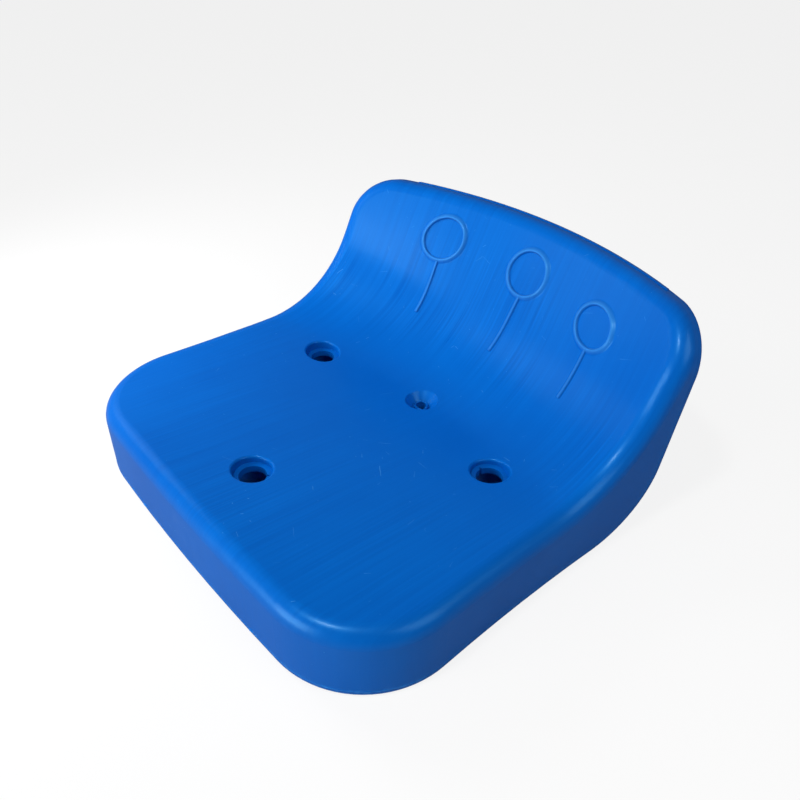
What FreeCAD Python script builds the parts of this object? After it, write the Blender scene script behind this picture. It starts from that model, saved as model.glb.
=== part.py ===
import FreeCAD, Part
import math
import os

# A blow-moulded low-back stadium seat: one hollow shell, modelled as the two skins that the mould
# halves form, and the plug of the blowing hole.  Millimetres, +Z up, the front edge faces -Y.
# The origin is the middle of the footprint, on the flat base.

# Overall size
FRONT_WIDTH = 420.0
WAIST_WIDTH = 402.0
REAR_WIDTH = 426.0
OVERALL_DEPTH = 412.0
OVERALL_HEIGHT = 187.0

# Side profile of the sitting face, on the centre line and at the side edges
FRONT_HEIGHT = 69.0
FRONT_CROWN = 7.0
BACK_RECLINE = 27.5
CENTRE_SLOPE = 5.5
EDGE_SLOPE = -1.5
CENTRE_BEND = 105.0
EDGE_BEND = 123.0
BACK_WRAP = 58.0
TOP_SLOPE = 13.5
TOP_THICKNESS = 22.5

# Outline
FRONT_BOW = 9.0
FRONT_CORNER = 83.5
TOP_CORNER = 47.5
RIM_RADIUS = 13.5

# Rear wall and base
REAR_LEAN = 9.5
HEEL_RADIUS = 66.0
BASE_EDGE_RADIUS = 4.0

# Moulding
WALL = 3.0
HOLLOW_BEVEL = 13.0
PARTING_HEIGHT = 6.0

# Fixing wells: a counterbore from above, a fused ledge with the bolt hole, a drafted socket from below
WELL_RADIUS = 16.5
WELL_DEPTH = 7.0
WELL_RIM_RADIUS = 2.0
HOLE_RADIUS = 11.5
SOCKET_DRAFT = 4.0
FRONT_WELL_SETBACK = 66.5
REAR_WELL_INSET = 190.5
REAR_WELL_SPACING = 234.0
NICK_WIDTH = 4.0
NICK_DEPTH = 3.0
FRONT_NICK_ANGLE = 50.0
RIGHT_NICK_ANGLE = 172.0

# Drain dish at the lowest point of the sitting face
DRAIN_INSET = 161.0
DRAIN_RADIUS = 15.0
DRAIN_FLOOR_RADIUS = 8.0
DRAIN_DEPTH = 7.5
DRAIN_HOLE_RADIUS = 5.0

# Trimmed pinch-off strip along the top edge
STRIP_LENGTH = 300.0
STRIP_WIDTH = 3.0
STRIP_HEIGHT = 1.0

# Blowing hole in the base, closed by a push-in plug in a shallow recess
BLOW_HOLE_RADIUS = 5.0
BLOW_HOLE_SETBACK = 150.0
BLOW_HOLE_OFFSET = 95.0
PLUG_HEAD_RADIUS = 9.0
PLUG_HEAD_THICKNESS = 2.0
PLUG_RECESS_CLEARANCE = 0.6
PLUG_BARB = 0.8
PLUG_BORE_RADIUS = 3.0
PLUG_REACH = 5.0

# Points down each side profile of the sitting face
SEAT_STEPS = 8
BEND_STEPS = 12
BACK_STEPS = 7

# How far working shapes run past the moulding
MARGIN = 60.0
REACH = 600.0

Vec = FreeCAD.Vector
UP = Vec(0, 0, 1)
FRONT_Y = -OVERALL_DEPTH / 2.0
REAR_Y = OVERALL_DEPTH / 2.0
HALF_REAR = REAR_WIDTH / 2.0


def rad(angle):
    return math.radians(angle)


def crossing(p, d, q, e):
    """Where the line through p along d meets the line through q along e, in one YZ plane."""
    w = q - p
    t = (w.y * e.z - w.z * e.y) / (d.y * e.z - d.z * e.y)
    return p + d * t


def blend(centre, edge, x):
    """A profile value at station x: it goes from the centre line to the side edge with the square of x."""
    return centre + (edge - centre) * (x / HALF_REAR) ** 2


def side_profile(x, inset):
    """Points down the sitting face at station x: the seat line, the bend arc and the back line."""
    slope = rad(blend(CENTRE_SLOPE, EDGE_SLOPE, x))
    rise = rad(90.0 - BACK_RECLINE)
    radius = blend(CENTRE_BEND, EDGE_BEND, x) + inset
    along_seat = Vec(0, math.cos(slope), -math.sin(slope))
    along_back = Vec(0, math.cos(rise), math.sin(rise))
    seat_normal = Vec(0, math.sin(slope), math.cos(slope))
    back_normal = Vec(0, -math.sin(rise), math.cos(rise))
    front = Vec(x, FRONT_Y, FRONT_HEIGHT - blend(0.0, FRONT_CROWN, x)) - seat_normal * inset
    top = Vec(x, REAR_Y - TOP_THICKNESS - blend(0.0, BACK_WRAP, x), OVERALL_HEIGHT) - back_normal * inset
    corner = crossing(front, along_seat, top, along_back)
    turn = slope + rise
    tangent = radius * math.tan(turn / 2.0)
    bend_start = corner - along_seat * tangent
    bend_end = corner + along_back * tangent
    centre = bend_start + seat_normal * radius
    first = front - along_seat * MARGIN
    last = top + along_back * MARGIN
    seat = [first + (bend_start - first) * (step / SEAT_STEPS) for step in range(SEAT_STEPS)]
    back = [bend_end + (last - bend_end) * (step / BACK_STEPS) for step in range(1, BACK_STEPS + 1)]
    bend = []
    for step in range(BEND_STEPS + 1):
        angle = turn * step / BEND_STEPS - slope
        bend.append(centre + Vec(0, math.sin(angle), -math.cos(angle)) * radius)
    return seat + bend + back


def sitting_face(inset):
    """The dished sitting face through nine side profiles, from beyond one side edge to beyond the other."""
    reach_x = HALF_REAR + MARGIN
    stations = [reach_x * step / 4.0 for step in range(-4, 5)]
    surface = Part.BSplineSurface()
    surface.interpolate([side_profile(x, inset) for x in stations])
    return surface.toShape()


def plan_prism(inset):
    """The walls seen from above: bowed front, rounded front corners and waisted sides."""
    front = circle_of(Vec(-FRONT_WIDTH / 2.0, FRONT_Y + FRONT_BOW, 0), Vec(0, FRONT_Y, 0),
                      Vec(FRONT_WIDTH / 2.0, FRONT_Y + FRONT_BOW, 0))
    side = circle_of(Vec(FRONT_WIDTH / 2.0, FRONT_Y + FRONT_BOW, 0), Vec(WAIST_WIDTH / 2.0, 0, 0),
                     Vec(HALF_REAR, REAR_Y, 0))
    waisted = 1.0 if side.Center.x > 0.0 else -1.0
    corner = corner_centre(front, side, waisted)
    side_radius = side.Radius + waisted * inset
    front_end = toward(front.Center, corner, front.Radius - inset)
    side_start = toward(side.Center, corner, side_radius)
    side_end = toward(side.Center, Vec(HALF_REAR, REAR_Y, 0), side_radius)
    side_middle = toward(side.Center, Vec(WAIST_WIDTH / 2.0, 0, 0), side_radius)
    bisector = (front_end - corner).normalize() + (side_start - corner).normalize()
    corner_middle = corner + bisector.normalize() * (FRONT_CORNER - inset)
    rear_end = side_end + Vec(0, 2.0 * MARGIN, 0)
    edges = [Part.Arc(mirrored(front_end), Vec(0, FRONT_Y + inset, 0), front_end).toShape()]
    for place in (same, mirrored):
        edges.append(Part.Arc(place(front_end), place(corner_middle), place(side_start)).toShape())
        edges.append(Part.Arc(place(side_start), place(side_middle), place(side_end)).toShape())
        edges.append(Part.LineSegment(place(side_end), place(rear_end)).toShape())
    edges.append(Part.LineSegment(rear_end, mirrored(rear_end)).toShape())
    wire = Part.Wire(Part.__sortEdges__(edges))
    return Part.Face(wire).extrude(UP * REACH)


def circle_of(start, middle, end):
    """The circle through three points."""
    return Part.Arc(start, middle, end).toShape().Curve


def corner_centre(front, side, waisted):
    """Centre of the front corner's arc, which touches the bowed front and the waisted (1) or full (-1) side."""
    to_front = front.Radius - FRONT_CORNER
    to_side = side.Radius + waisted * FRONT_CORNER
    line = side.Center - front.Center
    along = (line.Length ** 2 + to_front ** 2 - to_side ** 2) / (2.0 * line.Length)
    across = math.sqrt(to_front ** 2 - along ** 2)
    unit = Vec(line.x, line.y, 0).normalize()
    return front.Center + unit * along + Vec(unit.y, -unit.x, 0) * across * waisted


def toward(start, target, distance):
    """The point at a distance from start on the way to a target."""
    return start + (target - start).normalize() * distance


def same(point):
    return point


def mirrored(point):
    """The point on the other side of the seat."""
    return Vec(-point.x, point.y, point.z)


def wrap_radius():
    """Radius, seen from above, of the top of the rear wall, whose sides come forward by the wrap."""
    return (HALF_REAR ** 2 + BACK_WRAP ** 2) / (2.0 * BACK_WRAP)


def on_wrap(radius, height):
    """A point in front of the upright axis about which the back wraps, at this radius."""
    return Vec(0, REAR_Y - wrap_radius() - radius, height)


def turned_about_wrap(edges):
    """The solid that a closed profile in front of the wrap's axis sweeps round it."""
    return Part.Face(Part.Wire(edges)).revolve(on_wrap(0, 0), UP, 360)


def polyline(points):
    """Straight edges from point to point."""
    return [Part.LineSegment(a, b).toShape() for a, b in zip(points, points[1:])]


def heel_zone(inset):
    """The space above the base and in front of the rear wall, with the rounded heel between them."""
    lean = rad(REAR_LEAN)
    half_turn = (math.pi / 2.0 - lean) / 2.0
    radius = HEEL_RADIUS - inset
    tangent = radius * math.tan(half_turn)
    foot = wrap_radius() - (OVERALL_HEIGHT - inset) * math.tan(lean) - inset / math.cos(lean)
    above = OVERALL_HEIGHT + MARGIN
    head = foot + (above - inset) * math.tan(lean)
    start = foot - tangent
    heel_start = on_wrap(start, inset)
    heel_middle = on_wrap(start + radius * math.sin(half_turn), inset + radius * (1.0 - math.cos(half_turn)))
    heel_end = on_wrap(foot + tangent * math.sin(lean), inset + tangent * math.cos(lean))
    edges = polyline([on_wrap(0, above), on_wrap(0, inset), heel_start])
    edges.append(Part.Arc(heel_start, heel_middle, heel_end).toShape())
    edges.extend(polyline([heel_end, on_wrap(head, above), on_wrap(0, above)]))
    return turned_about_wrap(edges)


def top_cutter(inset):
    """What lies above the top edge, which follows the wrap of the back and falls toward the rear."""
    fall = math.tan(rad(TOP_SLOPE))
    far = wrap_radius() + 2.0 * MARGIN
    level = OVERALL_HEIGHT - inset / math.cos(rad(TOP_SLOPE))
    crest = wrap_radius() - TOP_THICKNESS
    middle = on_wrap(0, level + crest * fall)
    edge = on_wrap(far, level - (far - crest) * fall)
    return turned_about_wrap(polyline([middle, edge, on_wrap(far, REACH), on_wrap(0, REACH), middle]))


def lies_on(edge, shape):
    """Whether the middle of an edge is on a face or shell."""
    middle = edge.valueAt((edge.FirstParameter + edge.LastParameter) / 2.0)
    return shape.distToShape(Part.Vertex(middle))[0] < 0.01


def rounded_walls(inset):
    """The walls cut off at the top edge, with the two top corners rounded."""
    walls = plan_prism(inset).cut(top_cutter(inset))
    sides = [e for e in walls.Edges if is_top_side(e)]
    return walls.makeFillet(TOP_CORNER - inset, sides)


def is_top_side(edge):
    """Whether an edge runs rearward along the top of a side wall."""
    middle = edge.valueAt((edge.FirstParameter + edge.LastParameter) / 2.0)
    run = abs(edge.Vertexes[0].Point.y - edge.Vertexes[-1].Point.y)
    return middle.z > OVERALL_HEIGHT / 2.0 and abs(middle.x) > WAIST_WIDTH / 3.0 and run > MARGIN


def body(inset):
    """The moulding's form moved in by inset, with its rim edges still sharp, and those edges."""
    face = sitting_face(inset)
    space = face.extrude(Vec(0, -REACH, REACH))
    solid = rounded_walls(inset).common(heel_zone(inset)).cut(space)
    return solid, [e for e in solid.Edges if lies_on(e, face)]


def outer_form():
    """The outer form with its rim, base and rear edges rounded."""
    form, rim = body(0.0)
    return soften_base(form.makeFillet(RIM_RADIUS, rim))


def hollow():
    """The space inside, with its rim bevelled under the outer rounding."""
    form, rim = body(WALL)
    return form.makeChamfer(HOLLOW_BEVEL, rim)


def soften_base(form):
    """Rounds the edges where the side walls and the top meet the base, the heel and the rear wall."""
    zone = Part.Compound(heel_zone(0.0).Faces)
    walls = Part.Compound(rounded_walls(0.0).Faces)
    corners = [e for e in form.Edges if lies_on(e, walls) and lies_on(e, zone)]
    return form.makeFillet(BASE_EDGE_RADIUS, corners)


def face_height(x, y):
    """Height of the sitting face above a point of the footprint."""
    post = Part.makeLine(Vec(x, y, 0), Vec(x, y, OVERALL_HEIGHT))
    return post.distToShape(sitting_face(0.0))[1][0][0].z


def disc(radius, centre, height):
    """An upright cylinder on a centre."""
    return Part.makeCylinder(radius, height, centre)


def well_places():
    """Name, x, y, angle of the trimming nick (or None) of each fixing well."""
    half = REAR_WELL_SPACING / 2.0
    return [("front", 0.0, FRONT_Y + FRONT_WELL_SETBACK, FRONT_NICK_ANGLE),
            ("right", half, REAR_Y - REAR_WELL_INSET, RIGHT_NICK_ANGLE),
            ("left", -half, REAR_Y - REAR_WELL_INSET, None)]


def socket(roof_radius, roof_z, centre):
    """A drafted socket from the base up to its roof."""
    foot_radius = roof_radius + roof_z * math.tan(rad(SOCKET_DRAFT))
    return Part.makeCone(foot_radius, roof_radius, roof_z, centre)


def nick(x, y, angle):
    """A small V left where the bolt hole was trimmed, through both layers of the ledge."""
    root = HOLE_RADIUS - NICK_WIDTH / 2.0
    tip = HOLE_RADIUS + NICK_DEPTH
    corners = [Vec(root, -NICK_WIDTH / 2.0, 0), Vec(tip, 0, 0), Vec(root, NICK_WIDTH / 2.0, 0)]
    wedge = Part.Face(Part.makePolygon(corners + corners[:1])).extrude(Vec(0, 0, FRONT_HEIGHT))
    wedge.rotate(Vec(0, 0, 0), Vec(0, 0, 1), angle)
    wedge.translate(Vec(x, y, 0))
    return wedge


def add_well(face_skin, under_skin, outer, x, y, nick_angle):
    """One fixing well: the cup in the face skin sits on the roof of the socket in the underside skin."""
    face_z = face_height(x, y)
    ledge_z = face_z - WELL_DEPTH
    joint_z = ledge_z - WALL
    roof_z = joint_z - WALL
    at = Vec(x, y, 0)
    above = FRONT_HEIGHT
    cup = disc(WELL_RADIUS + WALL, Vec(x, y, joint_z), above).common(outer)
    face_skin = face_skin.fuse(cup)
    bowl = disc(WELL_RADIUS, Vec(x, y, ledge_z), above)
    face_skin = face_skin.cut(bowl)
    mouth = [e for e in face_skin.Edges if is_mouth(e, at, WELL_RADIUS, ledge_z + WELL_DEPTH / 2.0)]
    face_skin = face_skin.makeFillet(WELL_RIM_RADIUS, mouth)
    under_skin = under_skin.fuse(socket(WELL_RADIUS + WALL, joint_z, at))
    under_skin = under_skin.cut(socket(WELL_RADIUS, roof_z, at))
    hole = disc(HOLE_RADIUS, at, face_z)
    if nick_angle is not None:
        hole = hole.fuse(nick(x, y, nick_angle))
    return face_skin.cut(hole), under_skin.cut(hole)


def is_mouth(edge, at, radius, above_z):
    """Whether an edge is the closed rim of a round opening about the axis through a point."""
    if edge.BoundBox.ZMin < above_z:
        return False
    for share in (0.2, 0.7):
        point = edge.valueAt(edge.FirstParameter + (edge.LastParameter - edge.FirstParameter) * share)
        if abs(math.hypot(point.x - at.x, point.y - at.y) - radius) > 0.05:
            return False
    return True


def add_drain(face_skin, under_skin, outer):
    """The drain: a conical dish with a small hole, on a socket from below."""
    y = REAR_Y - DRAIN_INSET
    floor_z = face_height(0.0, y) - DRAIN_DEPTH
    joint_z = floor_z - WALL
    roof_z = joint_z - WALL
    slope = (DRAIN_RADIUS - DRAIN_FLOOR_RADIUS) / DRAIN_DEPTH
    rise = 3.0 * DRAIN_DEPTH
    at = Vec(0, y, 0)
    dish_wall = Part.makeCone(DRAIN_FLOOR_RADIUS + WALL, DRAIN_FLOOR_RADIUS + WALL + slope * rise, rise,
                              Vec(0, y, joint_z)).common(outer)
    dish = Part.makeCone(DRAIN_FLOOR_RADIUS, DRAIN_FLOOR_RADIUS + slope * rise, rise, Vec(0, y, floor_z))
    face_skin = face_skin.fuse(dish_wall).cut(dish)
    under_skin = under_skin.fuse(socket(DRAIN_FLOOR_RADIUS + WALL, joint_z, at))
    under_skin = under_skin.cut(socket(DRAIN_FLOOR_RADIUS, roof_z, at))
    hole = disc(DRAIN_HOLE_RADIUS, at, FRONT_HEIGHT)
    return face_skin.cut(hole), under_skin.cut(hole)


def pinch_off_strip():
    """The trimmed edge of the parison along the top, a little proud of the parting line."""
    band = top_cutter(WALL / 2.0).cut(top_cutter(-STRIP_HEIGHT))
    front = heel_zone(PARTING_HEIGHT - STRIP_WIDTH / 2.0)
    rear = heel_zone(PARTING_HEIGHT + STRIP_WIDTH / 2.0)
    box = Part.makeBox(STRIP_LENGTH, OVERALL_DEPTH, OVERALL_HEIGHT + MARGIN, Vec(-STRIP_LENGTH / 2.0, 0, 0))
    return band.common(front).cut(rear).common(box)


def add_blow_hole(under_skin):
    """The blowing hole, in a recess that keeps the plug's head above the floor."""
    at = Vec(BLOW_HOLE_OFFSET, FRONT_Y + BLOW_HOLE_SETBACK, 0)
    recess_radius = PLUG_HEAD_RADIUS + PLUG_RECESS_CLEARANCE
    recess_depth = PLUG_HEAD_THICKNESS + PLUG_RECESS_CLEARANCE
    under_skin = under_skin.fuse(disc(recess_radius + WALL, at, recess_depth + WALL))
    under_skin = under_skin.cut(disc(recess_radius, at, recess_depth))
    return under_skin.cut(disc(BLOW_HOLE_RADIUS, at, FRONT_HEIGHT / 2.0))


def blow_hole_plug():
    """A hollow push-in plug: flat head below, stem through the skin and a barb above it."""
    recess_depth = PLUG_HEAD_THICKNESS + PLUG_RECESS_CLEARANCE
    head_z = recess_depth - PLUG_HEAD_THICKNESS
    seat_z = recess_depth
    lip_z = seat_z + WALL
    r = BLOW_HOLE_RADIUS
    outline = [Vec(0, 0, head_z), Vec(PLUG_HEAD_RADIUS, 0, head_z), Vec(PLUG_HEAD_RADIUS, 0, seat_z),
               Vec(r, 0, seat_z), Vec(r, 0, lip_z), Vec(r + PLUG_BARB, 0, lip_z),
               Vec(r - PLUG_BARB, 0, lip_z + PLUG_REACH), Vec(PLUG_BORE_RADIUS, 0, lip_z + PLUG_REACH),
               Vec(PLUG_BORE_RADIUS, 0, seat_z), Vec(0, 0, seat_z)]
    plug = Part.Face(Part.makePolygon(outline + outline[:1])).revolve(Vec(0, 0, 0), Vec(0, 0, 1), 360)
    plug.translate(Vec(BLOW_HOLE_OFFSET, FRONT_Y + BLOW_HOLE_SETBACK, 0))
    return plug


def build():
    outer = outer_form()
    shell = outer.cut(hollow())
    parting = heel_zone(PARTING_HEIGHT)
    face_skin = shell.common(parting)
    under_skin = shell.cut(parting)
    for name, x, y, nick_angle in well_places():
        face_skin, under_skin = add_well(face_skin, under_skin, outer, x, y, nick_angle)
    face_skin, under_skin = add_drain(face_skin, under_skin, outer)
    strip = pinch_off_strip()
    face_skin = face_skin.fuse(strip.common(parting))
    under_skin = under_skin.fuse(strip.cut(parting))
    under_skin = add_blow_hole(under_skin)
    return {"face_skin": face_skin, "underside_skin": under_skin, "blow_hole_plug": blow_hole_plug()}


os.makedirs("parts", exist_ok=True)
for node, shape in build().items():
    shape.exportStep("parts/" + node + ".step")
    print(node, "solids", len(shape.Solids), "valid", shape.isValid(), "volume", round(shape.Volume))
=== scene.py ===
"""A blow-moulded stadium seat: its finishes, its fine moulded relief and the studio."""

import logging
import math
from dataclasses import dataclass, field
from enum import Enum

import bpy
import numpy as np
from mathutils import Matrix, Vector


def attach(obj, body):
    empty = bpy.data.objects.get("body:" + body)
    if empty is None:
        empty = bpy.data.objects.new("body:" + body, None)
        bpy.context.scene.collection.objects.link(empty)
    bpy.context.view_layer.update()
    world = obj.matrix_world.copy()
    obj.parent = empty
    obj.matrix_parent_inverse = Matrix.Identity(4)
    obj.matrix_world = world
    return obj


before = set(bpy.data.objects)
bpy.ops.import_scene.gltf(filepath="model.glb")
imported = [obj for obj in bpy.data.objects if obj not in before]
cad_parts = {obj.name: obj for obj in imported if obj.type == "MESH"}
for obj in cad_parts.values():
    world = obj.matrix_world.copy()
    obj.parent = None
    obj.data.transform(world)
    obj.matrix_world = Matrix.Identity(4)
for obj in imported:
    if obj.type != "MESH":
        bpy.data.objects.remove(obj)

LOG = logging.getLogger("stadium_seat")
MM = 0.001
BODY = "root"
# How far relief stands up, read by the finish to paint a highlight on raised relief.
RAISED = "raised"
PHOTO_SIDE = 800
WHITE = (1.0, 1.0, 1.0, 1.0)

Array = np.ndarray
Colour = tuple[float, float, float]
# Points in millimetres, quads, end caps, and how far each point stands up.
Form = tuple[Array, Array, list[list[int]], Array]
Point = tuple[float, float]
Socket = bpy.types.NodeSocket
Tree = bpy.types.NodeTree


class Side(Enum):
    """The side of a line through the plan, seen along the line from above."""

    LEFT = 1.0
    RIGHT = -1.0


class Plastic(Enum):
    """The plastics, by the record's material slots."""

    FACE = "seat_plastic"
    UNDERSIDE = "underside_plastic"
    PLUG = "plug_plastic"


class Effect(Enum):
    """The effects that the plastics share, by the names of their node groups."""

    DIE_LINES = "die lines"
    SCUFFS = "scuffs"
    FOOT_WEAR = "foot wear"


# Forms


def unit(vectors: Array) -> Array:
    """The same directions with length one, each vector divided by its length."""
    return vectors / np.linalg.norm(vectors, axis=-1, keepdims=True)


@dataclass(frozen=True)
class SittingFace:
    """The sitting face in millimetres: a seat line, a bend arc and a back line at each x.

    Each profile value goes from the centre line to the side edge with the square of x.
    """

    front_y: float = -206.0
    rear_y: float = 206.0
    half_width: float = 213.0
    height: float = 187.0
    front_height: float = 69.0
    front_crown: float = 7.0
    recline: float = 27.5
    centre_slope: float = 5.5
    edge_slope: float = -1.5
    centre_bend: float = 105.0
    edge_bend: float = 123.0
    wrap: float = 58.0
    top_thickness: float = 22.5
    step: float = 0.05

    def blend(self, centre: float, edge: float, x: Array) -> Array:
        """A profile value at x, from its values on the centre line and at the side edge."""
        return centre + (edge - centre) * (x / self.half_width) ** 2

    def point(self, x: Array, down: Array) -> Array:
        """Points on the back and bend, a distance along the profile below the top edge.

        The back line falls from the top edge.  Past its tangent point the profile turns round the
        bend's centre, by the arc length that is left over divided by the radius.

        Args:
            x: Distances from the middle of the seat.
            down: Distances below the top edge, measured along the profile.

        Returns:
            An array of x, y, z with the shape of x and one more axis.
        """
        slope = np.radians(self.blend(self.centre_slope, self.edge_slope, x))
        rise = math.radians(90.0 - self.recline)
        radius = self.blend(self.centre_bend, self.edge_bend, x)
        start_z = self.front_height - self.blend(0.0, self.front_crown, x)
        top_y = self.rear_y - self.top_thickness - self.blend(0.0, self.wrap, x)
        run, climb = top_y - self.front_y, self.height - start_z
        along = (run * math.sin(rise) - climb * math.cos(rise)) / np.sin(rise + slope)
        corner_y = self.front_y + along * np.cos(slope)
        corner_z = start_z - along * np.sin(slope)
        tangent = radius * np.tan((rise + slope) / 2.0)
        straight = (self.height - corner_z) / math.sin(rise) - tangent
        past = np.maximum(down - straight, 0.0) / radius
        on_line = np.minimum(down, straight)
        centre_y = corner_y - tangent * np.cos(slope) + radius * np.sin(slope)
        centre_z = corner_z + tangent * np.sin(slope) + radius * np.cos(slope)
        line_y = top_y - on_line * math.cos(rise)
        line_z = self.height - on_line * math.sin(rise)
        arc_y = centre_y + radius * np.sin(rise - past)
        arc_z = centre_z - radius * np.cos(rise - past)
        bent = past > 0.0
        return np.stack([x, np.where(bent, arc_y, line_y), np.where(bent, arc_z, line_z)], axis=-1)

    def normal(self, x: Array, down: Array) -> Array:
        """Directions away from the face, as the cross product of two short steps on it.

        Args:
            x: Distances from the middle of the seat.
            down: Distances below the top edge, along the profile.

        Returns:
            Unit vectors that point at the sitter.
        """
        across = self.point(x + self.step, down) - self.point(x - self.step, down)
        along = self.point(x, down + self.step) - self.point(x, down - self.step)
        return unit(np.cross(along, across))


def grid_faces(rows: int, columns: int, close_rows: bool, close_columns: bool) -> Array:
    """Four-cornered faces of a grid of points, with its rows and columns joined up where asked.

    Args:
        rows: Points along the path.
        columns: Points round the section.
        close_rows: Whether the last row meets the first.
        close_columns: Whether the last column meets the first.

    Returns:
        Index quadruples, one face to a line.
    """
    along = np.arange(rows if close_rows else rows - 1)
    around = np.arange(columns if close_columns else columns - 1)
    row, column = np.meshgrid(along, around, indexing="ij")
    here, beyond = row * columns, (row + 1) % rows * columns
    beside = (column + 1) % columns
    corners = [here + column, beyond + column, beyond + beside, here + beside]
    return np.stack(corners, axis=-1).reshape(-1, 4)


def make_piece(name: str, points_mm: Array, quads: Array, caps: list[list[int]],
               raised: Array | None = None) -> bpy.types.Object:
    """A smooth-shaded object from points in millimetres, with its place in its mesh.

    Args:
        name: The piece's name.
        points_mm: Points, one to a line.
        quads: Four-cornered faces.
        caps: Further faces that close open ends.
        raised: How far each point stands up, from 0 to 1, which the finish uses to paint a highlight on
            the relief.

    Returns:
        The new object, linked to the scene and riding on the seat.
    """
    mesh = bpy.data.meshes.new(name)
    mesh.from_pydata((points_mm * MM).tolist(), [], quads.tolist() + caps)
    mesh.validate()
    if raised is not None:
        shares = mesh.attributes.new(RAISED, "FLOAT", "POINT")
        shares.data.foreach_set("value", raised.astype(np.float32).ravel())
    mesh.polygons.foreach_set("use_smooth", np.ones(len(mesh.polygons), dtype=bool))
    mesh.update()
    piece = bpy.data.objects.new(name, mesh)
    bpy.context.scene.collection.objects.link(piece)
    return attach(piece, BODY)


def swell(t: Array) -> Array:
    """A smooth step from 0 at t = 0 to 1 at t = 1, level at both ends."""
    held = np.clip(t, 0.0, 1.0)
    return held * held * (3.0 - 2.0 * held)


@dataclass(frozen=True)
class Wave:
    """A sine wave: its height, how fast it turns, and its phase in radians."""

    height: float
    rate: float
    phase: float = 0.0

    def at(self, place: Array) -> Array:
        """The height times the sine of the place times the rate, plus the phase."""
        return self.height * np.sin(self.rate * place + self.phase)


@dataclass(frozen=True)
class Bead:
    """A raised band in the moulding, with an inner flank, an outer one and a faint foot beyond."""

    width: float
    height: float
    inner_flank: float
    outer_flank: float
    foot: float = 0.0
    foot_height: float = 0.0
    sink: float = 0.16
    root: float = 0.8
    steps: int = 26

    def section(self) -> Array:
        """The closed section as pairs of offset and height.

        The offset runs from the inner edge to the outer edge and on over the foot.  The height is
        the product of two smooth steps, one for each flank, plus the foot, which dies away from the
        outer flank outwards.  All of it starts a little under the face, and the loop closes inside
        the wall.

        Returns:
            Pairs that run once round the section.
        """
        half = self.width / 2.0
        reach = half + self.foot
        offset = np.linspace(-half, reach, self.steps + 1)
        up = swell((offset + half) / self.inner_flank)
        down = swell((half - offset) / self.outer_flank)
        tail = self.foot_height * up * swell((reach - offset) / (self.foot + self.outer_flank))
        top = np.stack([offset, self.height * up * down + tail - self.sink], axis=-1)
        under = np.array([[reach, -self.root], [-half, -self.root]])
        return np.concatenate([top, under])

    def sweep(self, path: Array, across: Array, outward: Array, fade: Array,
              closed: bool) -> Form:
        """The section carried along a path.

        Each point is the path's point, plus the offset along the across direction, plus the height
        along the outward direction, where heights above the face are multiplied by the fade.

        Args:
            path: Points along the path.
            across: Unit directions across the bead at each of them.
            outward: Unit directions away from the face.
            fade: A share of the full height at each point.
            closed: Whether the path comes back to its start.

        Returns:
            Points, quads, end caps and raised shares for make_piece.
        """
        section = self.section()
        level = np.broadcast_to(section[:, 1], (len(path), len(section)))
        faded = -self.sink + (level + self.sink) * fade[:, None]
        rise = np.where(level > -self.sink, faded, level)
        aside = across[:, None] * section[None, :, :1]
        points = path[:, None] + aside + outward[:, None] * rise[..., None]
        rows, columns = points.shape[:2]
        quads = grid_faces(rows, columns, closed, True)
        first = list(range(columns))
        last = [(rows - 1) * columns + k for k in reversed(range(columns))]
        if float(np.sum(np.cross(np.gradient(path, axis=0), across) * outward)) < 0.0:
            quads, first, last = quads[:, ::-1], first[::-1], last[::-1]
        raised = np.clip(rise / self.height, 0.0, 1.0)
        return points.reshape(-1, 3), quads, [] if closed else [first, last], raised


def circle_through(*points: Point) -> tuple[Array, float]:
    """The circle through three points of the plan.

    The centre has the same distance from all three, which gives two linear equations: the centre
    times twice the step from the first to another equals the difference of their squared lengths.

    Args:
        points: The three points.

    Returns:
        Its centre and radius.
    """
    first, second, third = (np.array(point) for point in points)
    steps = 2.0 * np.array([second - first, third - first])
    squares = np.array([second @ second - first @ first, third @ third - first @ first])
    centre = np.linalg.solve(steps, squares)
    return centre, float(np.linalg.norm(first - centre))


def crossing(first: Array, first_radius: Array | float, second: Array, second_radius: float,
             side: Side) -> Array:
    """Where circles round two points of the plan cross.

    With d between the centres, the crossing lies d squared plus the first radius squared minus the
    second radius squared, over 2 d, along the line of centres.  Its distance from that line follows
    from the first radius.

    Args:
        first: The first centre.
        first_radius: The radius round it, or several.
        second: The second centre.
        second_radius: The radius round it.
        side: The side of the line from the first centre to the second.

    Returns:
        One point for each first radius.
    """
    between = second - first
    far = float(np.linalg.norm(between))
    aim = between / far
    along = (far ** 2 + first_radius ** 2 - second_radius ** 2) / (2.0 * far)
    off = np.sqrt(first_radius ** 2 - along ** 2)
    aside = side.value * np.array([-aim[1], aim[0]])
    return first + np.multiply.outer(along, aim) + np.multiply.outer(off, aside)


# Nodes


@dataclass(frozen=True)
class Ramp:
    """A smooth change of a value from one range to another, kept inside the second."""

    low: float
    high: float
    to_low: float = 0.0
    to_high: float = 1.0


@dataclass(frozen=True)
class Noise:
    """A noise: its scale per metre, its detail and its roughness."""

    scale: float
    detail: float
    roughness: float = 0.5


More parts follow.
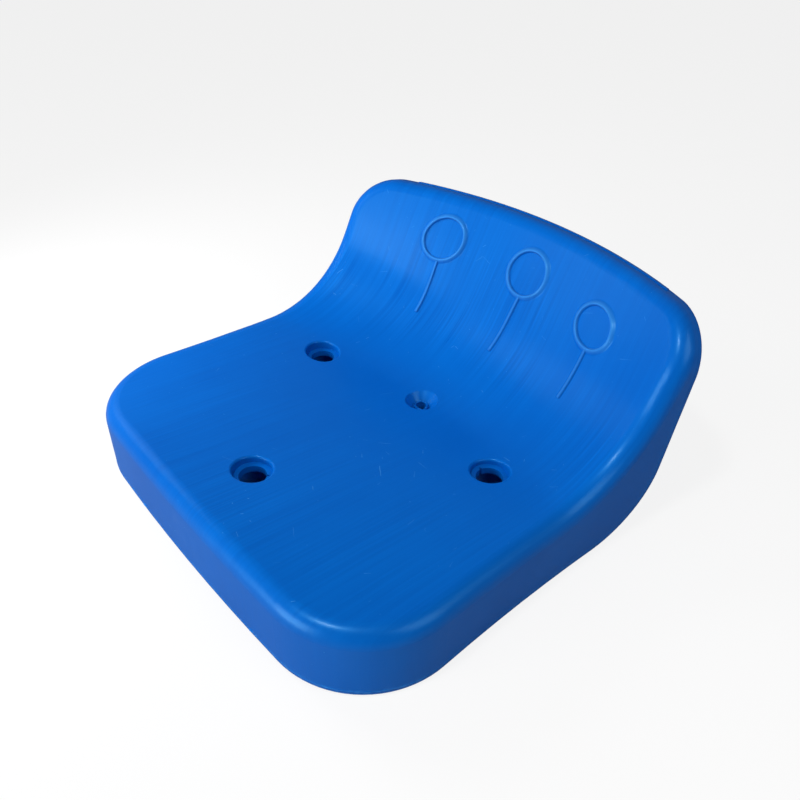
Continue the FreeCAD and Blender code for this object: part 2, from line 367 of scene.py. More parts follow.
@dataclass(frozen=True)
class Nodes:
    """A node tree, with short ways to add a node and join it up."""

    tree: Tree

    def add(self, kind: str, inputs: dict[object, object] | None = None,
            **settings: object) -> bpy.types.Node:
        """A node with its settings and inputs given.

        Args:
            kind: Its type name.
            inputs: Values or output sockets, by input name or number.
            settings: Attributes of the node.

        Returns:
            The new node.
        """
        node = self.tree.nodes.new(kind)
        for label, value in settings.items():
            setattr(node, label, value)
        for label, value in (inputs or {}).items():
            if isinstance(value, Socket):
                self.tree.links.new(value, node.inputs[label])
            else:
                node.inputs[label].default_value = value
        return node

    def calculate(self, operation: str, a: object, b: object = 0.0, clamp: bool = False) -> Socket:
        """The output of one Math node on two numbers or sockets, kept in 0 to 1 if clamped."""
        settings = {"operation": operation, "use_clamp": clamp}
        return self.add("ShaderNodeMath", {0: a, 1: b}, **settings).outputs[0]

    def plus(self, a: object, b: object, clamp: bool = False) -> Socket:
        """The sum of two values."""
        return self.calculate("ADD", a, b, clamp)

    def minus(self, a: object, b: object, clamp: bool = False) -> Socket:
        """The first value less the second."""
        return self.calculate("SUBTRACT", a, b, clamp)

    def times(self, a: object, b: object) -> Socket:
        """The product of two values."""
        return self.calculate("MULTIPLY", a, b)

    def larger(self, a: object, b: object) -> Socket:
        """The larger of two values."""
        return self.calculate("MAXIMUM", a, b)

    def size(self, a: object) -> Socket:
        """A value without its sign."""
        return self.calculate("ABSOLUTE", a)

    def spread(self, value: object, ramp: Ramp) -> Socket:
        """A value mapped smoothly by a ramp."""
        sizes = {"Value": value, "From Min": ramp.low, "From Max": ramp.high,
                 "To Min": ramp.to_low, "To Max": ramp.to_high}
        return self.add("ShaderNodeMapRange", sizes, interpolation_type="SMOOTHSTEP").outputs[0]

    def noise(self, place: Socket, noise: Noise) -> Socket:
        """The value of a noise at a place."""
        inputs = {"Vector": place, "Scale": noise.scale, "Detail": noise.detail,
                  "Roughness": noise.roughness}
        return self.add("ShaderNodeTexNoise", inputs).outputs[0]

    def parts(self, vector: Socket) -> tuple[Socket, ...]:
        """The x, y and z of a vector."""
        return tuple(self.add("ShaderNodeSeparateXYZ", {0: vector}).outputs)

    def tint(self, base: Colour | Socket, share: Socket, colour: Colour) -> Socket:
        """A colour laid over a base colour by a mask."""
        under = base if isinstance(base, Socket) else (*base, 1.0)
        return self.add("ShaderNodeMix", {0: share, 6: under, 7: (*colour, 1.0)},
                        data_type="RGBA").outputs[2]

    def effect(self, group: Tree, **inputs: object) -> object:
        """The outputs of a shared effect, by name."""
        return self.add("ShaderNodeGroup", inputs, node_tree=group).outputs

    def take(self, label: str) -> Socket:
        """What comes into the group under a name."""
        return self.tree.nodes["in"].outputs[label]

    def give(self, label: str, value: Socket) -> None:
        """Sends a value out of the group under a name."""
        self.tree.links.new(value, self.tree.nodes["out"].inputs[label])


def new_group(effect: Effect, inputs: dict[str, tuple[str, object]], outputs: list[str]) -> Nodes:
    """An empty shader node group with named sockets, which puts out values only.

    Args:
        effect: The effect that it is for.
        inputs: Socket type and default of each input.
        outputs: Name of each output.

    Returns:
        The group, with its two end nodes placed.
    """
    group = bpy.data.node_groups.new(effect.value, "ShaderNodeTree")
    for label, (kind, default) in inputs.items():
        socket = group.interface.new_socket(label, in_out="INPUT", socket_type=kind)
        if default is not None:
            socket.default_value = default
    for label in outputs:
        group.interface.new_socket(label, in_out="OUTPUT", socket_type="NodeSocketFloat")
    group.nodes.new("NodeGroupInput").name = "in"
    group.nodes.new("NodeGroupOutput").name = "out"
    return Nodes(group)


def blank(owner: bpy.types.Material | bpy.types.World) -> Nodes:
    """The emptied node tree of a material or world.

    Args:
        owner: The material or world.

    Returns:
        Its node tree, ready to fill.
    """
    owner.use_nodes = True
    owner.node_tree.nodes.clear()
    return Nodes(owner.node_tree)


# Finishes


@dataclass(frozen=True)
class Streaks:
    """Noise drawn out along the seat: its scales per metre across and along, and its detail."""

    output: str
    across: float
    along: float
    detail: float


@dataclass(frozen=True)
class DieLines:
    """Fine lines that the extruded tube of plastic keeps from the die, along the seat and back.

    Noise is read from coordinates stretched across the seat, so that it changes quickly with X and
    slowly along the profile.  A coarse noise lets the lines wander and come and go.  They are
    strongest over the bend, where the tube was blown furthest: the ramps up and off say at which
    heights, in metres, they come up and fade again.
    """

    drift_noise: Noise = Noise(7.0, 1.0)
    drift: float = 0.010
    fine: Streaks = Streaks("Lines", 420.0, 4.0, 3.0)
    broad: Streaks = Streaks("Tone", 60.0, 2.5, 2.0)
    grain: float = 0.62
    coming_noise: Noise = Noise(14.0, 2.0)
    coming: Ramp = Ramp(0.35, 0.62, 0.3, 1.0)
    up: Ramp = Ramp(0.050, 0.085, 0.14, 1.0)
    off: Ramp = Ramp(0.120, 0.165, 1.0, 0.35)

    def group(self) -> Tree:
        """The effect as a node group.

        Returns:
            The group, with the lines round 0.5, a broader tone, and where the lines show.
        """
        nodes = new_group(Effect.DIE_LINES, {"Vector": ("NodeSocketVector", None)},
                          [self.fine.output, self.broad.output, "Show"])
        place = nodes.take("Vector")
        drift = nodes.noise(place, self.drift_noise)
        x, y, z = nodes.parts(place)
        slid = nodes.plus(x, nodes.times(drift, self.drift))
        for streaks in (self.fine, self.broad):
            stretched = nodes.add("ShaderNodeCombineXYZ", {
                0: nodes.times(slid, streaks.across),
                1: nodes.times(y, streaks.along),
                2: nodes.times(z, streaks.along)})
            drawn = Noise(1.0, streaks.detail, self.grain)
            nodes.give(streaks.output, nodes.noise(stretched.outputs[0], drawn))
        coming = nodes.noise(place, self.coming_noise)
        by_height = nodes.times(nodes.spread(z, self.up), nodes.spread(z, self.off))
        nodes.give("Show", nodes.times(by_height, nodes.spread(coming, self.coming)))
        return nodes.tree


@dataclass(frozen=True)
class Stroke:
    """One size of scratch: cells to the metre, half length and half width in metres.

    A cell has a scratch where its random number is above the last value.
    """

    cells: float
    length: float
    width: float
    above: float


@dataclass(frozen=True)
class Scuffs:
    """Short pale scratches, specks and rubbed patches from handling.

    The face is unrolled to x and y + z.  Each Voronoi cell holds at most one scratch: a short
    straight stroke through the cell's point, turned by the cell's first random number, with its
    length from the second, and kept only where the third is high.  Faces that look sideways have
    no scratches.
    """

    strokes: tuple[Stroke, ...] = (
        Stroke(26.0, 0.0062, 0.00032, 0.78),
        Stroke(44.0, 0.0026, 0.00030, 0.82),
        Stroke(95.0, 0.0006, 0.00042, 0.90))
    waver_noise: Noise = Noise(90.0, 1.0)
    waver: float = 0.004
    turn: float = 6.2832
    lengths: Ramp = Ramp(0.0, 1.0, 0.3, 1.0)
    patch_noise: Noise = Noise(16.0, 5.0, 0.7)
    scratched: Ramp = Ramp(0.40, 0.62, 0.15, 1.0)
    rubbed: Ramp = Ramp(0.55, 0.75)
    facing: Ramp = Ramp(0.55, 0.80, 1.0, 0.0)

    def marks(self, nodes: Nodes, unrolled: Socket, stroke: Stroke) -> Socket:
        """The scratches of one size.

        Args:
            nodes: The group's tree.
            unrolled: The face as a flat plan.
            stroke: Their size and how many there are.

        Returns:
            Their mask.
        """
        cell = nodes.add("ShaderNodeTexVoronoi", {"Vector": unrolled, "Scale": stroke.cells},
                         voronoi_dimensions="2D")
        chance = nodes.add("ShaderNodeSeparateColor", {0: cell.outputs["Color"]}).outputs
        away = nodes.add("ShaderNodeVectorMath", {0: unrolled, 1: cell.outputs["Position"]},
                         operation="SUBTRACT")
        angle = nodes.times(chance[0], self.turn)
        turned = nodes.add("ShaderNodeVectorRotate", {"Vector": away.outputs[0], "Angle": angle},
                           rotation_type="Z_AXIS")
        x, y, _ = nodes.parts(turned.outputs[0])
        reach = nodes.times(nodes.spread(chance[1], self.lengths), stroke.length)
        inside = nodes.calculate("LESS_THAN", nodes.size(x), reach)
        line = nodes.spread(nodes.size(y), Ramp(0.0, stroke.width, 1.0, 0.0))
        chosen = nodes.calculate("GREATER_THAN", chance[2], stroke.above)
        return nodes.times(nodes.times(inside, line), chosen)

    def group(self) -> Tree:
        """The effect as a node group.

        Returns:
            The group, with the scratches and the rubbed patches as masks.
        """
        nodes = new_group(Effect.SCUFFS, {
            "Vector": ("NodeSocketVector", None), "Sideways": ("NodeSocketFloat", 0.0),
            "Amount": ("NodeSocketFloat", 1.0)}, ["Scratches", "Rubbed"])
        place, amount = nodes.take("Vector"), nodes.take("Amount")
        x, y, z = nodes.parts(place)
        waver = nodes.minus(nodes.noise(place, self.waver_noise), 0.5)
        unrolled = nodes.add("ShaderNodeCombineXYZ", {
            0: nodes.plus(x, nodes.times(waver, self.waver)), 1: nodes.plus(y, z)}).outputs[0]
        total, *others = (self.marks(nodes, unrolled, stroke) for stroke in self.strokes)
        for marks in others:
            total = nodes.larger(total, marks)
        patch = nodes.noise(place, self.patch_noise)
        faint = nodes.times(total, nodes.spread(patch, self.scratched))
        here = nodes.times(nodes.spread(nodes.take("Sideways"), self.facing), amount)
        nodes.give("Scratches", nodes.times(faint, here))
        nodes.give("Rubbed", nodes.times(nodes.spread(patch, self.rubbed), amount))
        return nodes.tree


@dataclass(frozen=True)
class FootWear:
    """Dust and rubbing along the edge that stands on the step.

    It is high near the base, up to a reach in metres, and broken up by noise.
    """

    reach: float = 0.010
    grain_noise: Noise = Noise(260.0, 4.0)
    grain: Ramp = Ramp(0.45, 0.7)

    def group(self) -> Tree:
        """The effect as a node group.

        Returns:
            The group, with the wear as a mask.
        """
        nodes = new_group(Effect.FOOT_WEAR, {
            "Vector": ("NodeSocketVector", None), "Reach": ("NodeSocketFloat", self.reach)},
            ["Mask"])
        place = nodes.take("Vector")
        height = nodes.parts(place)[2]
        share = nodes.calculate("DIVIDE", height, nodes.take("Reach"))
        grain = nodes.noise(place, self.grain_noise)
        low = nodes.minus(1.0, share, clamp=True)
        nodes.give("Mask", nodes.times(low, nodes.spread(grain, self.grain)))
        return nodes.tree


@dataclass(frozen=True)
class Polyethylene:
    """Coloured polyethylene with the marks of its moulding and of use, and a painted highlight on raised
    relief.

    The first nine values differ between the plastics.  Those after them say how strongly each mark
    changes the colour, the roughness and the bump, and how the surface shines.
    """

    name: str
    colour: Colour
    deep: Colour
    # Pale colour for scratches and foot wear, also used for the painted highlight on raised relief.
    rubbed: Colour
    roughness: float
    lines: float
    peel: float
    scratches: float
    foot: float
    cloud_noise: Noise = Noise(9.0, 3.0)
    cloud_tone: float = 0.75
    band_tone: float = 0.12
    streak_tone: float = 3.0
    scratch_tone: float = 0.60
    # Share of the pale colour painted on raised relief by its height: a painted highlight.
    relief_painted_highlight: float = 0.26
    streak_gloss: float = 0.35
    rubbed_gloss: float = -0.05
    peel_noise: Noise = Noise(420.0, 2.0)
    streak_height: float = 2.0
    scratch_depth: float = 0.5
    bump_strength: float = 0.8
    bump_distance: float = 0.00015
    ior: float = 1.5
    specular: float = 0.5
    specular_tint: Colour = (0.10, 0.60, 1.0)
    coat: float = 0.07
    coat_roughness: float = 0.20

    def painted(self, nodes: Nodes, tone: Socket, scratches: Socket, foot: Socket) -> Socket:
        """The colour: the deep and the plain one mixed by the tone, then wear over them, then a painted
        highlight in the pale colour on raised relief.

        Args:
            nodes: The material's tree.
            tone: How light the plastic is.
            scratches: The scratches' mask.
            foot: The foot wear's mask.

        Returns:
            The colour's socket.
        """
        raised = nodes.add("ShaderNodeAttribute", attribute_name=RAISED).outputs["Fac"]
        colour = nodes.tint(self.deep, tone, self.colour)
        # On scratches and the foot the pale colour is wear; on raised relief it is a painted highlight.
        for mask, share in ((scratches, self.scratch_tone), (foot, self.foot),
                            (raised, self.relief_painted_highlight)):
            colour = nodes.tint(colour, nodes.times(mask, share), self.rubbed)
        return colour

    def material(self, groups: dict[Effect, Tree]) -> bpy.types.Material:
        """The finish as a node material on Object coordinates.

        Args:
            groups: The shared effects' groups.

        Returns:
            The material.
        """
        made = bpy.data.materials.new(self.name)
        nodes = blank(made)
        at = nodes.add("ShaderNodeTexCoord").outputs
        place = at["Object"]
        sideways = nodes.size(nodes.parts(at["Normal"])[0])
        lines = nodes.effect(groups[Effect.DIE_LINES], Vector=place)
        marks = nodes.effect(groups[Effect.SCUFFS], Vector=place, Sideways=sideways,
                             Amount=self.scratches)
        foot = nodes.effect(groups[Effect.FOOT_WEAR], Vector=place)
        streak = nodes.times(nodes.minus(lines["Lines"], 0.5), lines["Show"])
        cloud = nodes.noise(place, self.cloud_noise)
        tone = nodes.plus(nodes.times(cloud, self.cloud_tone),
                          nodes.times(lines["Tone"], self.band_tone))
        tone = nodes.plus(tone, nodes.times(streak, self.streak_tone * self.lines), clamp=True)
        gloss = nodes.plus(nodes.times(streak, self.streak_gloss * self.lines),
                           nodes.times(marks["Rubbed"], self.rubbed_gloss))
        peel = nodes.noise(place, self.peel_noise)
        height = nodes.plus(nodes.times(streak, self.streak_height * self.lines),
                            nodes.times(peel, self.peel))
        height = nodes.minus(height, nodes.times(marks["Scratches"], self.scratch_depth))
        bump = nodes.add("ShaderNodeBump", {"Height": height, "Strength": self.bump_strength,
                                            "Distance": self.bump_distance})
        shader = nodes.add("ShaderNodeBsdfPrincipled", {
            "Base Color": self.painted(nodes, tone, marks["Scratches"], foot["Mask"]),
            "Roughness": nodes.plus(gloss, self.roughness),
            "Normal": bump.outputs[0],
            "IOR": self.ior,
            "Specular IOR Level": self.specular,
            "Specular Tint": (*self.specular_tint, 1.0),
            "Coat Weight": self.coat,
            "Coat Roughness": self.coat_roughness,
            "Coat IOR": self.ior})
        nodes.add("ShaderNodeOutputMaterial", {"Surface": shader.outputs[0]})
        return made


# Each rubbed colour is the pale colour of wear marks and also of the painted highlight on raised relief.
PLASTICS = {
    Plastic.FACE: Polyethylene(
        "blown polyethylene, face",
        colour=(0.0, 0.120, 0.505), deep=(0.0, 0.078, 0.380), rubbed=(0.08, 0.36, 0.74),
        roughness=0.35, lines=1.0, peel=0.30, scratches=1.0, foot=0.30),
    Plastic.UNDERSIDE: Polyethylene(
        "blown polyethylene, underside",
        colour=(0.0, 0.113, 0.480), deep=(0.0, 0.076, 0.370), rubbed=(0.08, 0.34, 0.70),
        roughness=0.50, lines=0.35, peel=0.50, scratches=0.6, foot=0.35),
    Plastic.PLUG: Polyethylene(
        "moulded polyethylene, plug",
        colour=(0.0, 0.100, 0.480), deep=(0.0, 0.088, 0.430), rubbed=(0.06, 0.30, 0.62),
        roughness=0.38, lines=0.0, peel=0.20, scratches=0.2, foot=0.20),
}


@dataclass
class Finishes:
    """Every finish on the seat, made once and handed to the pieces."""

    made: dict[Plastic, bpy.types.Material] = field(default_factory=dict)

    def build(self) -> None:
        """Makes the effect groups and the three plastics."""
        groups = {Effect.DIE_LINES: DieLines().group(), Effect.SCUFFS: Scuffs().group(),
                  Effect.FOOT_WEAR: FootWear().group()}
        for plastic, finish in PLASTICS.items():
            self.made[plastic] = finish.material(groups)

    def coat(self, piece: bpy.types.Object, plastic: Plastic) -> None:
        """Gives a piece the finish of a plastic."""
        piece.data.materials.clear()
        piece.data.materials.append(self.made[plastic])

    def dress(self, piece: bpy.types.Object, plastic: Plastic) -> None:
        """Gives a new piece its finish and its slot; the CAD's own nodes need no slot."""
        self.coat(piece, plastic)


# The seat


@dataclass
class Shell:
    """The solids that come from the CAD: both skins of the moulding and the plug."""

    plastics: dict[str, Plastic] = field(default_factory=lambda: {
        "face_skin": Plastic.FACE, "underside_skin": Plastic.UNDERSIDE,
        "blow_hole_plug": Plastic.PLUG})

    def build(self, finishes: Finishes) -> None:
        """Coats each node and leaves its mesh as it is.

        Args:
            finishes: The plastics.
        """
        for node, plastic in self.plastics.items():
            finishes.coat(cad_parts[node], plastic)
            LOG.info("dressed %s", node)


@dataclass
class RingAndStem:
    """One raised figure on the back: a ring with a straight stem below it.

    Places are millimetres from the middle of the seat and down from the top edge.  The ring's
    sizes are half its outer width and height.  The probe is a short step that finds directions.
    The stem's points stand close together over its foot, and shares are parts of its length.
    """

    name: str
    face: SittingFace
    x: float
    down: float
    across: float
    tall: float
    stem_x: Point
    stem_down: float
    band: Bead = Bead(width=6.4, height=2.3, inner_flank=1.5, outer_flank=4.4,
                      foot=5.0, foot_height=0.35)
    rod: Bead = Bead(width=5.6, height=2.0, inner_flank=4.2, outer_flank=1.2)
    turns: int = 160
    probe: float = 0.1
    shaft_share: float = 0.97
    shaft_steps: int = 50
    foot_share: float = 0.976
    foot_steps: int = 8
    fade_share: float = 0.022

    def ring_path(self, grow: float) -> tuple[Array, Array]:
        """The ring's middle line, an ellipse on the unrolled face, moved outwards by an amount.

        Args:
            grow: How far outwards.

        Returns:
            x and the distance below the top edge at each point.
        """
        turn = np.linspace(0.0, 2.0 * math.pi, self.turns, endpoint=False)
        half = self.band.width / 2.0
        return (self.x + (self.across - half + grow) * np.cos(turn),
                self.down - (self.tall - half + grow) * np.sin(turn))

    def ring(self) -> Form:
        """The ring: the band carried round its middle line.

        Returns:
            Its form for make_piece.
        """
        x, down = self.ring_path(0.0)
        path = self.face.point(x, down)
        across = unit(self.face.point(*self.ring_path(self.probe)) - path)
        return self.band.sweep(path, across, self.face.normal(x, down), np.ones(self.turns), True)

    def stem(self) -> Form:
        """The stem: a narrower band from the ring's lower edge down over the bend.

        Its height fades over the last share of its length, which makes its foot square.

        Returns:
            Its form for make_piece.
        """
        start = self.down + self.tall - self.band.width / 2.0
        share = np.concatenate([np.linspace(0.0, self.shaft_share, self.shaft_steps),
                                np.linspace(self.foot_share, 1.0, self.foot_steps)])
        down = start + (self.stem_down - start) * share
        x = self.stem_x[0] + (self.stem_x[1] - self.stem_x[0]) * share
        path = self.face.point(x, down)
        across = unit(self.face.point(x + self.probe, down) - path)
        fade = swell((1.0 - share) / self.fade_share)
        return self.rod.sweep(path, across, self.face.normal(x, down), fade, False)

    def build(self, finishes: Finishes) -> None:
        """Makes both pieces and dresses them as the face.

        Args:
            finishes: The plastics.
        """
        for part, form in (("ring", self.ring()), ("stem", self.stem())):
            finishes.dress(make_piece(f"{self.name}_{part}", *form), Plastic.FACE)
        LOG.info("built %s", self.name)


@dataclass
class Ornament:
    """Three rings with stems across the back, the right one lower than the others."""

    face: SittingFace

    def build(self, finishes: Finishes) -> None:
        """Builds the three figures.

        Args:
            finishes: The plastics.
        """
        for figure in (
                RingAndStem("left_figure", self.face, x=-90.0, down=44.8, across=26.4, tall=26.4,
                            stem_x=(-88.9, -85.3), stem_down=125.5),
                RingAndStem("middle_figure", self.face, x=13.8, down=46.1, across=26.1, tall=26.1,
                            stem_x=(14.5, 11.1), stem_down=128.3),
                RingAndStem("right_figure", self.face, x=106.8, down=54.7, across=25.2, tall=23.4,
                            stem_x=(108.2, 107.6), stem_down=123.7)):
            figure.build(finishes)


@dataclass(frozen=True)
class Nick:
    """What the trimming knife left: its place along the ridge, half its length and its height."""

    place: float
    reach: float
    height: float


@dataclass
class PartingFlash:
    """The thin trimmed ridge where the mould halves met.

    It goes round the foot of the walls and up beside the heel.
    """

    front_width: float = 420.0
    waist_width: float = 402.0
    rear_width: float = 426.0
    depth: float = 412.0
    bow: float = 9.0
    corner: float = 83.5
    height: float = 187.0
    wrap: float = 58.0
    heel: float = 66.0
    lean: float = 9.5
    level: float = 6.0
    top: float = 118.0
    ripple: Wave = Wave(0.35, 0.9)
    swing: Wave = Wave(1.0, 0.13, 1.0)
    fine: Wave = Wave(0.2, 2.3, 0.7)
    teeth: Wave = Wave(0.2, 3.0)
    nicks: tuple[Nick, ...] = (
        Nick(-172.0, 5.0, 0.9), Nick(-158.0, 3.0, 1.2), Nick(-101.0, 2.0, 0.6),
        Nick(-76.0, 2.5, 1.0), Nick(93.0, 2.2, 1.1), Nick(168.0, 3.0, 0.5))
    bead: Bead = Bead(width=1.1, height=0.16, inner_flank=0.5, outer_flank=0.5, sink=0.03,
                      root=0.5, steps=8)
    front_steps: int = 170
    corner_steps: int = 110
    side_steps: int = 90
    heel_steps: int = 60
    rise_steps: int = 40

    @property
    def wrap_radius(self) -> float:
        """The radius, seen from above, whose sides come forward by the wrap at the rear's width."""
        return ((self.rear_width / 2.0) ** 2 + self.wrap ** 2) / (2.0 * self.wrap)

    def heel_run(self) -> tuple[Array, Array]:
        """The parting line seen from the side, as distance from the wrap's upright axis and height.

        The rear wall leans, so the line rises straight there; a heel arc joins it to the level run.

        Returns:
            Distances and heights from the start of the heel upwards.
        """
        lean = math.radians(self.lean)
        radius = self.heel - self.level
        tangent = radius * math.tan((math.pi / 2.0 - lean) / 2.0)
        inset = (self.height - self.level) * math.tan(lean)
        foot = self.wrap_radius - inset - self.level / math.cos(lean)
        turn = np.linspace(0.0, math.pi / 2.0 - lean, self.heel_steps)
        arc = foot - tangent + radius * np.sin(turn)
        arc_z = self.level + radius * (1.0 - np.cos(turn))
        rise_z = np.linspace(arc_z[-1], self.top, self.rise_steps)[1:]
        rise = foot + (rise_z - self.level) * math.tan(lean)
        return np.concatenate([arc, rise]), np.concatenate([arc_z, rise_z])

    def half_path(self) -> tuple[Array, Array]:
        """The right half of the line, from the middle of the front to beside the rear wall.

        The front, the corner and the side are arcs that touch each other.  On the side, a point
        whose distance from the wrap's axis is known is where two circles cross.

        Returns:
            Points, and unit directions out of the wall.
        """
        front_y, corner_y = -self.depth / 2, self.bow - self.depth / 2
        half_front, half_rear = self.front_width / 2, self.rear_width / 2
        front, front_radius = circle_through((-half_front, corner_y), (0.0, front_y),
                                             (half_front, corner_y))
        side, side_radius = circle_through((half_front, corner_y), (self.waist_width / 2, 0.0),
                                           (half_rear, self.depth / 2))
        centre = crossing(front, front_radius - self.corner, side, side_radius + self.corner, Side.RIGHT)
        first, last = unit(centre - front), unit(side - centre)
        x = np.linspace(0.0, (front + first * front_radius)[0], self.front_steps)
        bow = np.stack([x, front[1] - np.sqrt(front_radius ** 2 - x ** 2)], axis=-1)
        start, end = (math.atan2(aim[1], aim[0]) for aim in (first, last))
        turn = np.linspace(start, end, self.corner_steps)[1:]
        bend = centre + self.corner * np.stack([np.cos(turn), np.sin(turn)], axis=-1)
        axis = np.array([0.0, self.depth / 2.0 - self.wrap_radius])
        reach, heights = self.heel_run()
        rising = crossing(axis, reach, side, side_radius, Side.LEFT)
        y = np.linspace(bend[-1, 1], rising[0, 1], self.side_steps)[1:-1]
        level = np.stack([side[0] - np.sqrt(side_radius ** 2 - (y - side[1]) ** 2), y], axis=-1)
        plan = np.concatenate([bow, bend, level, rising])
        z = np.concatenate([np.full(len(plan) - len(heights), self.level), heights])
        out = np.concatenate([unit(bow - front), unit(bend - centre), unit(side - level),
                              unit(side - rising)])
        return np.column_stack([plan, z]), np.column_stack([out, np.zeros(len(out))])

    def ragged(self, run: Array) -> Array:
        """The ridge's height along its length, as a share of the bead's.

        It is 1, plus a ripple multiplied by a slow swing, plus a fine wave.  Each nick adds its own
        share times e to the minus fourth power of the distance from it over its reach, with teeth.

        Args:
            run: Distances along the ridge from the middle of the front.

        Returns:
            The share at each of them.
        """
        share = 1.0 + self.ripple.at(run) * self.swing.at(run) + self.fine.at(run)
        toothed = (1.0 - self.teeth.height) + self.teeth.at(run)
        for nick in self.nicks:
            bell = np.exp(-(((run - nick.place) / nick.reach) ** 4))
            share = share + nick.height / self.bead.height * bell * toothed
        return share

    def build(self, finishes: Finishes) -> None:
        """Carries the ridge round both halves, with its ragged height and its nicks.

        Args:
            finishes: The plastics.
        """
        path, outward = self.half_path()
        mirror = np.array([-1.0, 1.0, 1.0])
        path = np.concatenate([path[:0:-1] * mirror, path])
        outward = np.concatenate([outward[:0:-1] * mirror, outward])
        run = np.concatenate([[0.0], np.cumsum(np.linalg.norm(np.diff(path, axis=0), axis=1))])
        run = run - run[len(run) // 2]
        across = np.cross(outward, unit(np.gradient(path, axis=0)))
        form = self.bead.sweep(path, across, outward, self.ragged(run), False)
        finishes.dress(make_piece("parting_flash", *form), Plastic.FACE)
        LOG.info("built parting_flash")


@dataclass
class DrainLip:
    """The ragged lip that the blade left round the drain's hole, torn open on one side.

    The section lists shares of the way outwards and of the height.  A height below zero stands for
    the root, a little inside the drain's floor.  The tear's place and width are in radians.
    """

    y: float = 45.0
    floor: float = 37.7
    inner: float = 5.1
    outer: float = 7.2
    rise: float = 2.4
    root: float = 0.3
    tear: float = -0.35
    tear_width: float = 0.26
    tear_depth: float = 0.85
    slow: Wave = Wave(0.16, 3.0, 0.6)
    quick: Wave = Wave(0.08, 11.0)
    lobes: Wave = Wave(0.25, 5.0)
    section: tuple[Point, ...] = (
        (0.0, -1.0), (0.0, 0.75), (0.10, 0.95), (0.3, 1.0),
        (0.55, 0.86), (0.85, 0.45), (1.0, -1.0))
    turns: int = 120

    def build(self, finishes: Finishes) -> None:
        """Turns a low rounded wall about the hole; its height wavers and drops at the tear.

        Args:
            finishes: The plastics.
        """
        turn = np.linspace(0.0, 2.0 * math.pi, self.turns, endpoint=False)
        from_tear = np.mod(turn - self.tear + math.pi, 2.0 * math.pi) - math.pi
        torn = np.exp(-((from_tear / self.tear_width) ** 2))
        height = (self.rise * (1.0 + self.slow.at(turn) + self.quick.at(turn))
                  * (1.0 - self.tear_depth * torn))
        out, up = np.array(self.section).T[:, None]
        radius = self.inner + (self.outer - self.inner) * out + self.lobes.at(turn)[:, None] * out
        z = self.floor + np.where(up < 0.0, -self.root, height[:, None] * up)
        x = radius * np.cos(turn)[:, None]
        y = self.y + radius * np.sin(turn)[:, None]
        points = np.stack([x, y, z], axis=-1)
        quads = grid_faces(*z.shape, True, True)[:, ::-1]
        finishes.dress(make_piece("drain_lip", points.reshape(-1, 3), quads, []), Plastic.FACE)
        LOG.info("built drain_lip")


# The studio


@dataclass(frozen=True)
class Softbox:
    """A square soft lamp: direction from the seat, distance and side in metres, power in watts."""

    name: str
    toward: tuple[float, float, float]
    distance: float
    side: float
    power: float
    mirrored: bool = True

    def build(self, target: Vector) -> None:
        """Puts up the lamp, which looks at the seat and isn't seen itself.

        Args:
            target: The point that it looks at.
        """
        data = bpy.data.lights.new(self.name, "AREA")
        data.shape, data.size, data.energy = "SQUARE", self.side, self.power
        lamp = bpy.data.objects.new(self.name, data)
        bpy.context.scene.collection.objects.link(lamp)
        lamp.visible_camera = False
        lamp.visible_glossy = self.mirrored
        aim = Vector(self.toward).normalized()
        lamp.location = target + aim * self.distance
        lamp.rotation_euler = aim.to_track_quat("Z", "Y").to_euler()


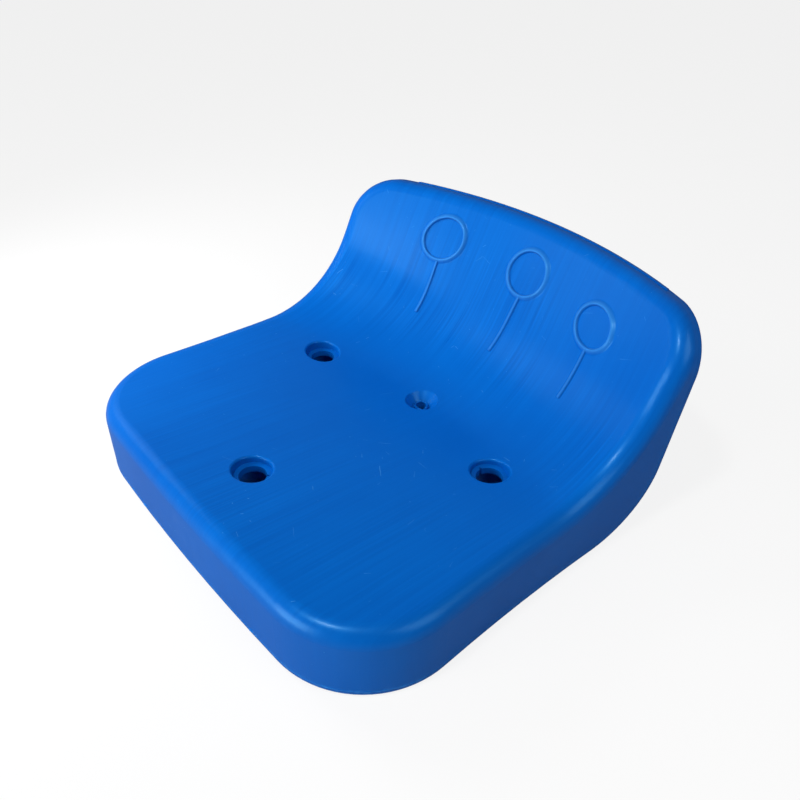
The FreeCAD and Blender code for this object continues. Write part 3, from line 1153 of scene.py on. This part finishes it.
@dataclass
class Studio:
    """A white floor, soft lamps and the camera.

    The camera's angles are in degrees, its focal length is in pixels of the photograph, and all
    lengths are in metres, apart from the sensor's width.  Within the clear ramp's distances from
    the middle, the floor's glow gives way to a plain surface, which takes the seat's shadow.
    """

    azimuth: float = 48.27
    elevation: float = 36.35
    roll: float = 1.59
    distance: float = 0.7141
    focal_pixels: float = 765.8
    target: tuple[float, float, float] = (-0.00727, 0.02431, 0.05105)
    sensor_width: float = 36.0
    clip: Point = (0.01, 50.0)
    ambient: float = 0.13
    floor_in_gloss: float = 0.04
    floor_half: float = 4.0
    floor_points: int = 9
    floor_grey: float = 0.80
    clear: Ramp = Ramp(0.16, 0.20, 0.0, 0.85)
    lamps: tuple[Softbox, ...] = (
        Softbox("front softbox", (-0.07, -0.975, 0.21), 1.5, 0.8, 15.0),
        Softbox("right softbox", (0.754, 0.133, 0.643), 1.5, 0.8, 6.0),
        Softbox("near left softbox", (-0.742, -0.413, 0.526), 0.66, 0.3, 3.6, mirrored=False),
        Softbox("overhead lamp", (0.08, -0.42, 0.90), 1.4, 0.14, 7.0))

    def floor_finish(self) -> bpy.types.Material:
        """A plain pale surface that glows white to the camera and through glass, faintly in gloss.

        Returns:
            The material.
        """
        made = bpy.data.materials.new("studio floor")
        nodes = blank(made)
        path = nodes.add("ShaderNodeLightPath").outputs
        glossy = path["Is Glossy Ray"]
        seen = nodes.larger(path["Is Camera Ray"],
                            nodes.larger(glossy, path["Is Transmission Ray"]))
        strength = nodes.minus(1.0, nodes.times(glossy, 1.0 - self.floor_in_gloss))
        grey = (self.floor_grey, self.floor_grey, self.floor_grey, 1.0)
        plain = nodes.add("ShaderNodeBsdfDiffuse", {"Color": grey}).outputs[0]
        glow = nodes.add("ShaderNodeEmission", {"Color": WHITE, "Strength": strength}).outputs[0]
        place = nodes.add("ShaderNodeTexCoord").outputs["Object"]
        away = nodes.add("ShaderNodeVectorMath", {0: place}, operation="LENGTH").outputs["Value"]
        share = nodes.times(seen, nodes.spread(away, self.clear))
        mixed = nodes.add("ShaderNodeMixShader", {0: share, 1: plain, 2: glow}).outputs[0]
        nodes.add("ShaderNodeOutputMaterial", {"Surface": mixed})
        return made

    def floor(self) -> None:
        """The floor, a level square."""
        side = np.linspace(-self.floor_half, self.floor_half, self.floor_points)
        x, y = np.meshgrid(side, side, indexing="ij")
        points = np.stack([x, y, np.zeros_like(x)], axis=-1).reshape(-1, 3)
        mesh = bpy.data.meshes.new("floor")
        mesh.from_pydata(points.tolist(), [], grid_faces(*x.shape, False, False).tolist())
        mesh.update()
        mesh.materials.append(self.floor_finish())
        floor = bpy.data.objects.new("floor", mesh)
        bpy.context.scene.collection.objects.link(floor)

    def world(self) -> None:
        """A surround that is white to the camera and through glass, and dimmer to other rays."""
        world = bpy.data.worlds.new("surround")
        bpy.context.scene.world = world
        nodes = blank(world)
        path = nodes.add("ShaderNodeLightPath").outputs
        seen = nodes.larger(path["Is Camera Ray"], path["Is Transmission Ray"])
        soft, white = (
            nodes.add("ShaderNodeBackground", {"Color": WHITE, "Strength": strength}).outputs[0]
            for strength in (self.ambient, 1.0))
        mixed = nodes.add("ShaderNodeMixShader", {0: seen, 1: soft, 2: white}).outputs[0]
        nodes.add("ShaderNodeOutputWorld", {"Surface": mixed})

    def camera(self) -> None:
        """The camera at the photograph's angle, from the outline that was fitted to it."""
        azimuth, elevation, roll = (
            math.radians(angle) for angle in (self.azimuth, self.elevation, self.roll))
        level = math.cos(elevation)
        back = Vector((math.sin(azimuth) * level, -math.cos(azimuth) * level, math.sin(elevation)))
        right = Vector((math.cos(azimuth), math.sin(azimuth), 0.0))
        up = back.cross(right)
        tilted_right = right * math.cos(roll) + up * math.sin(roll)
        tilted_up = up * math.cos(roll) - right * math.sin(roll)
        data = bpy.data.cameras.new("camera")
        data.sensor_width = self.sensor_width
        data.lens = self.sensor_width * self.focal_pixels / PHOTO_SIDE
        data.clip_start, data.clip_end = self.clip
        camera = bpy.data.objects.new("camera", data)
        bpy.context.scene.collection.objects.link(camera)
        turn = Matrix((tilted_right, tilted_up, back)).transposed().to_4x4()
        camera.matrix_world = Matrix.Translation(Vector(self.target) + back * self.distance) @ turn
        bpy.context.scene.camera = camera

    def build(self) -> None:
        """Sets the stage."""
        self.floor()
        self.world()
        for lamp in self.lamps:
            lamp.build(Vector(self.target))
        self.camera()
        bpy.context.scene.view_settings.view_transform = "Standard"
        LOG.info("studio ready")


def main() -> None:
    """Builds the sub-assemblies in order and reports each."""
    logging.basicConfig(level=logging.INFO, format="%(message)s")
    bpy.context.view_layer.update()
    finishes = Finishes()
    finishes.build()
    Shell().build(finishes)
    Ornament(SittingFace()).build(finishes)
    PartingFlash().build(finishes)
    DrainLip().build(finishes)
    Studio().build()


if __name__ == "__main__":
    main()
